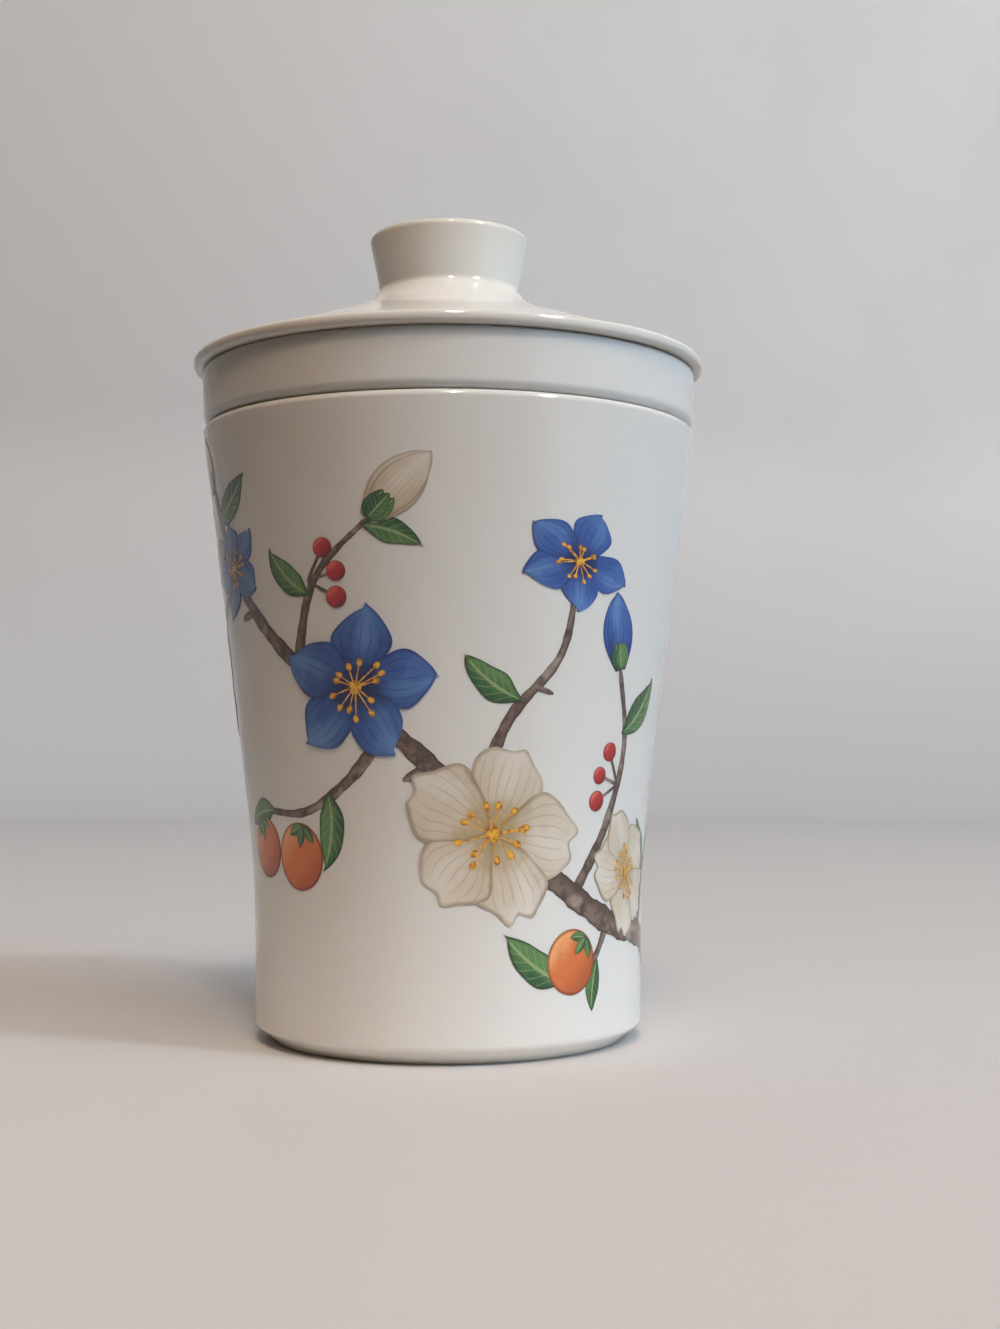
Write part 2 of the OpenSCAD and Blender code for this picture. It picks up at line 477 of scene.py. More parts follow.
@dataclass(frozen=True)
class BarkInk(FiredInk):
    """Grey-brown bark with lichen, dark at the underside and at its outline."""

    dark: Colour = paint(78, 63, 58)
    body: Colour = paint(118, 100, 92)
    lichen: Colour = paint(162, 148, 138)
    outline: Colour = paint(56, 45, 43)
    lichen_share: float = 0.7
    shade_share: float = 0.75
    outline_share: float = 0.8
    streak_per_metre: float = 620.0
    lichen_per_metre: float = 240.0

    def blend(self, graph: Graph) -> bpy.types.NodeSocket:
        """Mixes the ink's colour."""
        _, across, edge, _ = graph.film()
        streak = graph.noise(self.streak_per_metre, 5.0)
        patch = graph.noise(self.lichen_per_metre, 3.0)
        colour = graph.mix(streak.band(0.35, 0.65), self.dark, self.body)
        colour = graph.mix(patch.band(0.52, 0.68) * self.lichen_share, colour, self.lichen)
        under = (across + (streak - 0.5) * 0.8).band(0.05, 0.8)
        colour = graph.mix(under * self.shade_share, colour, self.dark)
        rim = (edge + (streak - 0.5) * 0.35).band(0.78, 0.97)
        colour = graph.mix(rim * self.outline_share, colour, self.outline)
        return colour


@dataclass(frozen=True)
class StamenInk(FiredInk):
    """Golden stamens with ochre pollen."""

    gold: Colour = paint(232, 178, 66)
    ochre: Colour = paint(156, 92, 36)
    pollen_per_metre: float = 1500.0

    def blend(self, graph: Graph) -> bpy.types.NodeSocket:
        """Mixes the ink's colour."""
        _, _, edge, _ = graph.film()
        pollen = graph.noise(self.pollen_per_metre, 3.0) + edge * 0.25
        colour = graph.mix(pollen.band(0.5, 0.85), self.gold, self.ochre)
        return colour


INKS: dict[Ink, FiredInk] = {
    Ink.BARK: BarkInk(),
    Ink.LEAF: LeafInk(),
    Ink.FRUIT: FruitInk(),
    Ink.BLUE: PetalInk(
        foot=paint(24, 34, 82),
        body=paint(48, 86, 156),
        tip=paint(98, 138, 196),
        vein=paint(30, 52, 118),
        outline=paint(28, 44, 100),
        veins=3.0,
        vein_share=0.6,
        outline_share=0.6,
        pool_share=0.55,
    ),
    Ink.CREAM: PetalInk(
        foot=paint(170, 150, 112),
        body=paint(200, 189, 172),
        tip=paint(214, 208, 200),
        vein=paint(160, 140, 114),
        outline=paint(132, 112, 88),
        veins=4.0,
        vein_share=0.45,
        outline_share=0.62,
        ridge_share=0.75,
        pool_share=0.35,
    ),
    Ink.STAMEN: StamenInk(),
    Ink.BERRY: FruitInk(
        light=paint(212, 104, 92),
        body=paint(174, 46, 48),
        shade=paint(110, 26, 36),
        outline=paint(78, 24, 30),
    ),
}


@dataclass(frozen=True)
class Wrap:
    """The outside of the cup, as the plan of the print is wrapped round it."""

    heights: np.ndarray
    radii: np.ndarray
    plan_height: float = 0.5
    LEAST_FACING: ClassVar[float] = 0.3
    DIGITS: ClassVar[int] = 6

    @classmethod
    def round_node(cls, node: bpy.types.Object) -> Wrap:
        """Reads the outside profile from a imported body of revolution.

        Args:
            node: The node's object.

        Returns:
            The wrap.
        """
        points = np.array([vertex.co for vertex in node.data.vertices])
        normals = np.array([vertex.normal for vertex in node.data.vertices])
        radii = np.hypot(points[:, 0], points[:, 1])
        outward = (points[:, :2] * normals[:, :2]).sum(axis=1) > cls.LEAST_FACING * radii
        profile = np.stack([points[outward, 2], radii[outward]], axis=-1)
        return cls(*np.unique(profile.round(cls.DIGITS), axis=0).T)

    def radius(self, z: np.ndarray | float) -> np.ndarray:
        """Gives the outside radius at a height, both in metres."""
        return np.interp(z, self.heights, self.radii)

    @property
    def plan_radius(self) -> float:
        """The radius at which lengths on the plan are true, in metres."""
        return float(self.radius(self.plan_height * self.heights[-1]))

    def place(self, plan: np.ndarray, lift: float) -> tuple[np.ndarray, np.ndarray]:
        """Wraps plan points round the cup.

        Args:
            plan: Points on the plan in millimetres, in the last axis of any array.
            lift: Height of the points over the glaze, in metres.

        Returns:
            The points, and the directions that face straight out of the glaze there.
        """
        angle = plan[..., 0] * MM / self.plan_radius
        z = plan[..., 1] * MM
        step = MM
        slope = (self.radius(z + step) - self.radius(z - step)) / (2 * step)
        radius = self.radius(z) + lift
        points = np.stack([radius * np.sin(angle), -radius * np.cos(angle), z], axis=-1)
        out = np.stack([np.sin(angle), -np.cos(angle), -slope], axis=-1)
        return points, out / np.linalg.norm(out, axis=-1, keepdims=True)


@dataclass(frozen=True)
class Patch:
    """A shape cut from film: a grid of points with what its ink needs to know at each."""

    plan: np.ndarray
    flat: np.ndarray
    along: np.ndarray
    across: np.ndarray
    edge: np.ndarray
    tone: float
    layer: int


class Film:
    """Thin closed sheets of one ink, gathered in one mesh on the outside of the cup."""

    BASE_LIFT = 0.03 * MM
    LAYER_LIFT = 0.009 * MM
    SINK = 0.02 * MM
    MAP_GAP = 0.6
    MAP_SLACK = 1.1

    def __init__(self, wrap: Wrap) -> None:
        """Starts with no patches on that wrap."""
        self.wrap = wrap
        self.patches: list[Patch] = []

    def add(self, patch: Patch) -> None:
        """Adds a patch."""
        self.patches.append(patch)

    @staticmethod
    def grid_faces(rows: int, columns: int) -> tuple[np.ndarray, np.ndarray]:
        """Lists the faces of one closed sheet.

        Args:
            rows: Points along the patch.
            columns: Points across it.

        Returns:
            The corner numbers of the outer faces, and those of the inner and side faces.
        """
        under = rows * columns
        number = np.arange(under).reshape(rows, columns)
        corners = [number[:-1, :-1], number[:-1, 1:], number[1:, 1:], number[1:, :-1]]
        outer = np.stack(corners, axis=-1).reshape(-1, 4)
        inner = outer[:, ::-1] + under
        round_edge = np.concatenate([number[0, :-1], number[:-1, -1], number[-1, :0:-1], number[:0:-1, 0]])
        following = np.roll(round_edge, -1)
        sides = np.stack([following, round_edge, round_edge + under, following + under], axis=-1)
        return outer, np.concatenate([inner, sides])

    def map_corners(self) -> list[np.ndarray]:
        """Packs the flat patches side by side in rows on the unit square.

        Returns:
            For each patch, the place on the map of each of its points.
        """
        spans = [patch.flat.reshape(-1, 2) for patch in self.patches]
        lows = [span.min(axis=0) for span in spans]
        sizes = [span.max(axis=0) - low + self.MAP_GAP for span, low in zip(spans, lows)]
        area = sum(float(w * h) for w, h in sizes)
        width = max(self.MAP_SLACK * math.sqrt(area), *(float(w) for w, _ in sizes))
        corners = [np.zeros(2) for _ in sizes]
        x, y, row_height = 0.0, 0.0, 0.0
        for index in sorted(range(len(sizes)), key=lambda i: -sizes[i][1]):
            if x + sizes[index][0] > width:
                x, y, row_height = 0.0, y + row_height, 0.0
            corners[index] = np.array([x, y])
            x += sizes[index][0]
            row_height = max(row_height, float(sizes[index][1]))
        side = max(width, y + row_height)
        half_gap = self.MAP_GAP / 2
        return [(s - low + corner + half_gap) / side for s, low, corner in zip(spans, lows, corners)]

    def build(self, name: str) -> bpy.types.Object:
        """Makes the mesh.

        Args:
            name: Name of the piece.

        Returns:
            The object, with its normals, its values for the ink and its map.
        """
        points, faces, normals, maps = [], [], [], []
        values: dict[str, list[np.ndarray]] = {key: [] for key in FILM_VALUES}
        start = 0
        for patch, flat in zip(self.patches, self.map_corners()):
            rows, columns = patch.along.shape
            lift = self.BASE_LIFT + patch.layer * self.LAYER_LIFT
            top, out = self.wrap.place(patch.plan, lift)
            bottom, _ = self.wrap.place(patch.plan, -self.SINK)
            points += [top.reshape(-1, 3), bottom.reshape(-1, 3)]
            outer, hidden = self.grid_faces(rows, columns)
            faces += [outer + start, hidden + start]
            normals += [out.reshape(-1, 3)[outer.ravel()], np.zeros((hidden.size, 3))]
            maps += [flat[outer.ravel()], np.zeros((hidden.size, 2))]
            for key, parts in values.items():
                parts += [np.broadcast_to(getattr(patch, key), (rows, columns)).ravel()] * 2
            start += 2 * rows * columns
        mesh = bpy.data.meshes.new(name)
        mesh.from_pydata(np.concatenate(points).tolist(), [], np.concatenate(faces).tolist())
        mesh.polygons.foreach_set("use_smooth", np.ones(len(mesh.polygons), dtype=bool))
        for key, parts in values.items():
            mesh.attributes.new(key, "FLOAT", "POINT").data.foreach_set("value", np.concatenate(parts))
        mesh.uv_layers.new(name=BAKE_MAP).data.foreach_set("uv", np.concatenate(maps).ravel())
        self.set_normals(mesh, np.concatenate(normals))
        piece = bpy.data.objects.new(name, mesh)
        bpy.context.scene.collection.objects.link(piece)
        return piece

    @staticmethod
    def set_normals(mesh: bpy.types.Mesh, normals: np.ndarray) -> None:
        """Gives each face corner its normal, and the face's own where that is zero."""
        face_normals = np.repeat([face.normal for face in mesh.polygons], 4, axis=0)
        free = ~normals.any(axis=1)
        normals[free] = face_normals[free]
        mesh.normals_split_custom_set(normals.tolist())


def square_grid(count: int) -> tuple[np.ndarray, np.ndarray]:
    """Lays a square of points out from its middle.

    Args:
        count: Points along a side.

    Returns:
        The angle of each point in radians from the right, and its share of the way to the edge.
    """
    steps = np.linspace(-1, 1, count)
    up, right = np.meshgrid(steps, steps, indexing="ij")
    return np.arctan2(up, right), np.maximum(np.abs(up), np.abs(right))


def step_from(start: Point, heading: float, distance: float) -> Point:
    """Gives the point at a distance from a start, on a heading in degrees from straight up to the right."""
    way = math.radians(heading)
    return start[0] + distance * math.sin(way), start[1] + distance * math.cos(way)


@dataclass(frozen=True)
class BladeForm:
    """The outline of a petal, leaf or bud, in shares of its length and of its width."""

    width: float
    widest: float
    foot: float
    end: float
    notch: float = 0.0
    shoulder: float = 0.0
    ruffle: float = 0.0
    rounding: float = 0.012
    MIDDLE: ClassVar[float] = 0.55
    GRID: ClassVar[int] = 17
    LOOP_STEPS: ClassVar[int] = 720
    NOTCH_WIDTH: ClassVar[float] = 0.24
    RUFFLES_ALONG: ClassVar[float] = 11.0
    RUFFLES_ACROSS: ClassVar[float] = 5.0
    RISE_POWER: ClassVar[float] = 1.2
    FALL_POWER: ClassVar[float] = 0.8
    SHOULDER_POWER: ClassVar[int] = 3
    LEAST_TURN: ClassVar[float] = 1e-6

    def half_width(self, along: np.ndarray, phase: float) -> np.ndarray:
        """Gives half the width at places from the foot, 0, to the tip, 1, for a length of 1."""
        before = np.minimum(along / self.widest, 1)
        rise = self.foot + (1 - self.foot) * np.sin(np.pi / 2 * before) ** self.RISE_POWER
        past = np.clip((along - self.widest) / (1 - self.widest), 0, 1)
        fall = self.end + (1 - self.end) * np.cos(np.pi / 2 * past) ** self.FALL_POWER
        wave = 1 + self.ruffle * np.sin(self.RUFFLES_ALONG * along + phase)
        return self.width / 2 * wave * np.where(along < self.widest, rise, fall)

    def reach(self, across: np.ndarray, phase: float) -> np.ndarray:
        """Gives how far the tip reaches at places across, from -1 to 1, for a length of 1."""
        wave = self.ruffle * np.sin(self.RUFFLES_ACROSS * across + 2 * phase)
        notch = self.notch * np.exp(-((across / self.NOTCH_WIDTH) ** 2))
        return 1 + wave - notch - self.shoulder * np.abs(across) ** self.SHOULDER_POWER

    def outline(self, angle: np.ndarray, phase: float) -> np.ndarray:
        """Gives the outline, with its corners rounded, at angles round the square that it is drawn from.

        Args:
            angle: Angles in radians, from the square's right.
            phase: Where the ruffle starts, in radians.

        Returns:
            The points for a length of 1, across and along in the last axis.
        """
        turn = np.linspace(-np.pi, np.pi, self.LOOP_STEPS + 1)
        square = np.stack([np.cos(turn), np.sin(turn)])
        side, rise = square / np.abs(square).max(axis=0)
        rise = (rise + 1) / 2
        loop = np.stack([side * self.half_width(rise, phase), rise * self.reach(side, phase)])
        run = np.concatenate([[0.0], np.cumsum(np.linalg.norm(np.diff(loop, axis=1), axis=0))])
        even = np.linspace(0, run[-1], self.LOOP_STEPS, endpoint=False)
        weight = np.exp(-((np.minimum(even, run[-1] - even) / self.rounding) ** 2) / 2)
        blur = np.fft.fft(weight / weight.sum())
        evened = [np.interp(even, run, part) for part in loop]
        rounded = [np.fft.ifft(np.fft.fft(part) * blur).real for part in evened]
        turn_at = np.interp(even, run, turn)
        return np.stack([np.interp(angle, turn_at, part, period=2 * np.pi) for part in rounded], axis=-1)

    def cut(self, foot: Point, heading: float, length: float, bend: float, tone: float, layer: int) -> Patch:
        """Cuts the blade from film.

        Args:
            foot: Where its foot is on the plan.
            heading: Where it points there, in degrees from straight up to the right.
            length: Its length in millimetres.
            bend: How far it turns to the right along its length, in degrees.
            tone: A value from 0 to 1 that makes its colour its own.
            layer: Its place in the stack of film.

        Returns:
            The patch.
        """
        angle, edge = square_grid(self.GRID)
        phase = 2 * math.pi * tone
        outline = self.outline(angle, phase)
        middle = np.array([0.0, self.MIDDLE])
        local = middle + edge[..., None] * (outline - middle)
        along = local[..., 1]
        across = np.clip(local[..., 0] / self.half_width(along, phase), -1, 1)
        turn = math.radians(bend) or self.LEAST_TURN
        start = math.radians(heading)
        way = start + turn * along
        aside = local[..., 0] * length
        x = foot[0] + length * (math.cos(start) - np.cos(way)) / turn + aside * np.cos(way)
        z = foot[1] + length * (np.sin(way) - math.sin(start)) / turn - aside * np.sin(way)
        return Patch(np.stack([x, z], axis=-1), local * length, along, across, edge, tone, layer)


DISC_GRID = 13
STRIP_COLUMNS = 7
STRIP_STEP = 0.9
STRIP_STUB = 0.1
STRIP_BLUNT = 0.5
KNOT_WAVES = ((1.0, 0.9, 9.0), (0.7, 2.3, 4.0))


def cut_disc(centre: Point, heading: float, width: float, length: float, tone: float, layer: int) -> Patch:
    """Cuts an oval from film.

    Args:
        centre: Its middle on the plan.
        heading: Where its length points, in degrees from straight up to the right.
        width: Its width in millimetres.
        length: Its length in millimetres.
        tone: A value from 0 to 1 that makes its colour its own.
        layer: Its place in the stack of film.

    Returns:
        The patch, with along and across from -1 to 1 on upright axes.
    """
    angle, edge = square_grid(DISC_GRID)
    unit = np.stack([edge * np.cos(angle), edge * np.sin(angle)], axis=-1)
    local = unit * (width / 2, length / 2)
    turn = math.radians(heading)
    x = local[..., 0] * math.cos(turn) + local[..., 1] * math.sin(turn)
    z = local[..., 1] * math.cos(turn) - local[..., 0] * math.sin(turn)
    plan = np.stack([centre[0] + x, centre[1] + z], axis=-1)
    half = max(width, length) / 2
    return Patch(plan, local, z / half, x / half, edge, tone, layer)


def cut_strip(
    points: tuple[Point, ...], thick: float, thin: float, tone: float, layer: int, knots: float = 0.0
) -> Patch:
    """Cuts a tapered strip from film along a smooth line.

    Args:
        points: The line's points on the plan.
        thick: Its width at the first point, in millimetres.
        thin: Its width at the last.
        tone: A value from 0 to 1 that makes its colour its own, and sets its knots apart.
        layer: Its place in the stack of film.
        knots: How far its width swells and shrinks, as a share of it.

    Returns:
        The patch.
    """
    ends = np.array([points[0], *points, points[-1]], dtype=float)
    ends[0] = 2 * ends[1] - ends[2]
    ends[-1] = 2 * ends[-2] - ends[-3]
    line = []
    for p, q, r, s in zip(ends, ends[1:], ends[2:], ends[3:]):
        count = max(3, round(float(np.linalg.norm(r - q)) / STRIP_STEP))
        t = np.linspace(0, 1, count, endpoint=False)[:, None]
        curve = (r - p) * t + (2 * p - 5 * q + 4 * r - s) * t**2 + (3 * q - p - 3 * r + s) * t**3
        line.append(q + curve / 2)
    middle = np.concatenate([*line, ends[-2:-1]])
    forward = np.gradient(middle, axis=0)
    forward /= np.linalg.norm(forward, axis=1, keepdims=True)
    right = np.stack([forward[:, 1], -forward[:, 0]], axis=-1)
    run = np.concatenate([[0.0], np.cumsum(np.linalg.norm(np.diff(middle, axis=0), axis=1))])
    share = run / run[-1]
    waves = sum(height * np.sin(run * per_mm + shift * tone) for height, per_mm, shift in KNOT_WAVES)
    swell = 1 + knots * waves / sum(height for height, _, _ in KNOT_WAVES)
    to_end = np.minimum(run, run[-1] - run)
    blunt = np.sqrt(np.clip((to_end + STRIP_STUB * thick) / (STRIP_BLUNT * thick), 0, 1))
    half = (thick + (thin - thick) * share) / 2 * swell * blunt
    along, across = np.meshgrid(share, np.linspace(-1, 1, STRIP_COLUMNS), indexing="ij")
    offset = across * half[:, None]
    plan = middle[:, None, :] + right[:, None, :] * offset[..., None]
    flat = np.stack([offset, np.broadcast_to(run[:, None], offset.shape)], axis=-1)
    return Patch(plan, flat, along, across, np.abs(across), tone, layer)


Films = dict[Ink, Film]


@dataclass(frozen=True)
class Twig:
    """A woody stem that tapers along given points."""

    points: tuple[Point, ...]
    thick: float
    thin: float
    layer: int = 1
    knots: float = 0.14

    def draw(self, films: Films, rng: random.Random) -> None:
        """Cuts the stem."""
        strip = cut_strip(self.points, self.thick, self.thin, rng.random(), self.layer, self.knots)
        films[Ink.BARK].add(strip)


@dataclass(frozen=True)
class Leaf:
    """A pointed leaf."""

    foot: Point
    heading: float
    length: float
    bend: float = 20.0
    layer: int = 4
    form: BladeForm = BladeForm(width=0.42, widest=0.42, foot=0.12, end=0.03, ruffle=0.05)

    def draw(self, films: Films, rng: random.Random) -> None:
        """Cuts the leaf."""
        patch = self.form.cut(self.foot, self.heading, self.length, self.bend, rng.random(), self.layer)
        films[Ink.LEAF].add(patch)


@dataclass(frozen=True)
class Fruit:
    """A small oval fruit with its calyx, seen from the side."""

    centre: Point
    width: float
    heading: float = 0.0
    plump: float = 1.02
    layer: int = 6
    crown: float = 0.46
    sepal: BladeForm = BladeForm(width=0.5, widest=0.4, foot=0.3, end=0.04)
    sepal_length: float = 0.34
    sepal_spread: tuple[float, ...] = (-62.0, 62.0, 4.0)
    sepal_bend: float = -0.3

    def draw(self, films: Films, rng: random.Random) -> None:
        """Cuts the fruit, and three sepals where its stalk joins it."""
        length = self.width * self.plump
        oval = cut_disc(self.centre, self.heading, self.width, length, rng.random(), self.layer)
        films[Ink.FRUIT].add(oval)
        crown = step_from(self.centre, self.heading, self.crown * length)
        size = self.sepal_length * self.width
        for count, spread in enumerate(self.sepal_spread):
            heading = self.heading + 180 + spread
            bend = self.sepal_bend * spread
            sepal = self.sepal.cut(crown, heading, size, bend, rng.random(), self.layer + 1 + count)
            films[Ink.LEAF].add(sepal)


@dataclass(frozen=True)
class Berries:
    """Small round berries on short stalks that fan out from one point."""

    foot: Point
    heading: float
    count: int = 3
    size: float = 3.0
    reach: float = 5.5
    spread: float = 44.0
    layer: int = 5
    reach_range: tuple[float, float] = (0.8, 1.15)
    size_range: tuple[float, float] = (0.88, 1.1)
    stalk_thick: float = 0.55
    stalk_thin: float = 0.4

    def draw(self, films: Films, rng: random.Random) -> None:
        """Cuts the stalks and the berries."""
        for count in range(self.count):
            heading = self.heading + self.spread * (count - (self.count - 1) / 2)
            end = step_from(self.foot, heading, self.reach * rng.uniform(*self.reach_range))
            stalk = cut_strip((self.foot, end), self.stalk_thick, self.stalk_thin, rng.random(), self.layer)
            films[Ink.BARK].add(stalk)
            size = self.size * rng.uniform(*self.size_range)
            films[Ink.BERRY].add(cut_disc(end, heading, size, size, rng.random(), self.layer + 1 + count))


class Bloom(Enum):
    """The two kinds of flower, by the form of their petals."""

    BLUE = BladeForm(width=0.78, widest=0.55, foot=0.30, end=0.03, ruffle=0.05, rounding=0.02)
    CREAM = BladeForm(
        width=0.96, widest=0.70, foot=0.20, end=0.6, notch=0.08, shoulder=0.14, ruffle=0.05, rounding=0.045
    )

    @property
    def ink(self) -> Ink:
        """The ink of the petals."""
        return Ink.BLUE if self is Bloom.BLUE else Ink.CREAM


@dataclass(frozen=True)
class Flower:
    """An open flower of five petals round a ring of stamens."""

    kind: Bloom
    centre: Point
    radius: float
    turn: float = 0.0
    tilt: float = 1.0
    lean: float = 0.0
    layer: int = 9
    petals: int = 5
    petal_length: float = 0.94
    petal_range: tuple[float, float] = (0.93, 1.05)
    petal_foot: float = 0.06
    petal_sway: float = 5.0
    petal_bend: float = 14.0
    filaments: int = 13
    filament_foot: float = 0.05
    filament_reach: tuple[float, float] = (0.24, 0.40)
    filament_sway: float = 9.0
    filament_thick: float = 0.26
    filament_thin: float = 0.16
    anther: float = 0.075
    anther_plump: float = 1.3
    eye: float = 0.17

    def tipped(self, patch: Patch) -> Patch:
        """Foreshortens a patch of a flower that faces aside.

        Args:
            patch: The patch as seen straight on.

        Returns:
            The patch, narrowed by the tilt along the lean.
        """
        centre = np.array(self.centre)
        way = np.array([math.sin(math.radians(self.lean)), math.cos(math.radians(self.lean))])
        offset = patch.plan - centre
        inward = (offset @ way)[..., None] * way * (1 - self.tilt)
        return replace(patch, plan=patch.plan - inward)

    def spot(self, heading: float, share: float) -> Point:
        """Gives the point at a share of the radius from the centre, on a heading in degrees."""
        return step_from(self.centre, heading, share * self.radius)

    def draw(self, films: Films, rng: random.Random) -> None:
        """Cuts the petals, the stamens and the eye."""
        for count in range(self.petals):
            heading = self.turn + 360 / self.petals * count + rng.uniform(-self.petal_sway, self.petal_sway)
            length = self.petal_length * self.radius * rng.uniform(*self.petal_range)
            foot = self.spot(heading, self.petal_foot)
            bend = rng.uniform(-self.petal_bend, self.petal_bend)
            petal = self.kind.value.cut(foot, heading, length, bend, rng.random(), self.layer + count)
            films[self.kind.ink].add(self.tipped(petal))
        self.draw_stamens(films[Ink.STAMEN], rng, self.layer + self.petals)

    def draw_stamens(self, film: Film, rng: random.Random, layer: int) -> None:
        """Cuts filaments with an anther each, and the eye that they spring from.

        Args:
            film: The film of golden ink.
            rng: The source of chance.
            layer: The lowest layer that is free.
        """
        wide = self.anther * self.radius
        sway = self.filament_sway
        for count in range(self.filaments):
            heading = self.turn + 360 / self.filaments * count + rng.uniform(-sway, sway)
            reach = rng.uniform(*self.filament_reach)
            foot = self.spot(heading, self.filament_foot)
            end = self.spot(heading + rng.uniform(-sway, sway), reach)
            strip = cut_strip((foot, end), self.filament_thick, self.filament_thin, rng.random(), layer)
            film.add(self.tipped(strip))
            anther = cut_disc(end, heading, wide, self.anther_plump * wide, rng.random(), layer + 1)
            film.add(self.tipped(anther))
        eye = self.eye * self.radius
        film.add(self.tipped(cut_disc(self.centre, 0.0, eye, eye, rng.random(), layer + 2)))


@dataclass(frozen=True)
class Bud:
    """A closed bud: three folded petals in a small calyx."""

    kind: Bloom
    foot: Point
    heading: float
    length: float
    layer: int = 6
    petal: BladeForm = BladeForm(width=0.46, widest=0.48, foot=0.45, end=0.04)
    petal_spread: tuple[float, ...] = (13.0, -11.0, 2.0)
    petal_length: float = 0.9
    petal_step: float = 0.05
    petal_bend: float = -1.4
    sepal: BladeForm = BladeForm(width=0.62, widest=0.35, foot=0.4, end=0.04)
    sepal_spread: tuple[float, ...] = (-24.0, 24.0, 0.0)
    sepal_length: float = 0.36

    def draw(self, films: Films, rng: random.Random) -> None:
        """Cuts the petals and the calyx."""
        for count, spread in enumerate(self.petal_spread):
            length = self.length * (self.petal_length + self.petal_step * count)
            heading, bend = self.heading + spread, self.petal_bend * spread
            petal = self.petal.cut(self.foot, heading, length, bend, rng.random(), self.layer + count)
            films[self.kind.ink].add(petal)
        calyx = self.layer + len(self.petal_spread)
        size = self.sepal_length * self.length
        for count, spread in enumerate(self.sepal_spread):
            heading = self.heading + spread
            sepal = self.sepal.cut(self.foot, heading, size, -spread, rng.random(), calyx + count)
            films[Ink.LEAF].add(sepal)


Motif = Twig | Leaf | Fruit | Berries | Flower | Bud

FRONT_SPRAY: tuple[Motif, ...] = (
    Twig(
        ((60, 10), (46, 17), (30, 21), (15, 30), (1, 42), (-12, 53), (-26, 62), (-38, 75), (-45, 90)),
        thick=4.6,
        thin=1.7,
    ),
    Twig(((22, 25), (29, 36), (32, 48), (29, 60)), 2.1, 0.9, 0),
    Twig(((4, 39), (9, 52), (17, 62), (19, 74)), 2.2, 0.9, 0),
    Twig(((-9, 51), (-16, 43), (-25, 38), (-36, 38)), 2.2, 0.9, 0),
    Twig(((-24, 61), (-20, 73), (-11, 82)), 1.8, 0.7, 0),
    Twig(((44, 18), (48, 29), (55, 36), (60, 33)), 2.0, 0.8, 0),
    Twig(((31, 21), (27, 15), (20, 12)), 1.6, 0.7, 0),
    Twig(((-36, 73), (-46, 70), (-54, 60)), 1.6, 0.8, 0),
    Twig(((-17, 56), (-15, 61)), 1.9, 1.1, 0),
    Twig(((-33, 69), (-37, 68)), 1.7, 1.0, 0),
    Twig(((-3, 45), (-7, 43)), 1.9, 1.2, 0),
    Twig(((40, 19), (41, 24)), 1.8, 1.1, 0),
    Twig(((13, 57), (16, 56)), 1.2, 0.7, 0),
    Leaf((20, 12), -70, 13, 30, 3),
    Leaf((28, 15), 205, 8, -30, 2),
    Leaf((31, 50), 62, 12, -35, 3),
    Leaf((11, 55), -70, 11, 35, 3),
    Leaf((-20, 41), 168, 12, 40, 3),
    Leaf((-33, 38), -88, 10, -30, 3),
    Leaf((-12, 81), 96, 9, 30, 3),
    Leaf((-21, 71), -64, 10, 40, 3),
    Leaf((-43, 84), 74, 12, -30, 3),
    Leaf((-41, 80), -100, 13, -30, 2),
    Leaf((47, 28), -62, 11, 40, 3),
    Leaf((-50, 66), 178, 10, 30, 3),
    Fruit((-27, 31), 10.4, 12),
    Fruit((-37, 32), 9.4, -18, layer=4),
    Fruit((22, 15), 10.0, 40, layer=4),
    Fruit((61, 27), 9.4, -10),
    Fruit((-54, 54), 9.0, 10),
    Berries((31, 42), -72),
    Berries((-21, 73), 74),
    Bud(Bloom.BLUE, (29, 60), -12, 12),
    Bud(Bloom.CREAM, (-11, 82), 42, 13),
    Bud(Bloom.CREAM, (-45, 89), -20, 10),
    Flower(Bloom.CREAM, (7, 35), 15.0, 14, 0.94, 40),
    Flower(Bloom.CREAM, (36, 28), 11.5, 50, 0.72, 60),
    Flower(Bloom.BLUE, (-14, 57), 12.5, 8, 0.95, -30, 15),
    Flower(Bloom.BLUE, (19, 76), 9.5, 30, 0.80, 20),
    Flower(Bloom.BLUE, (-38, 76), 8.5, 52, 0.78, -50),
)

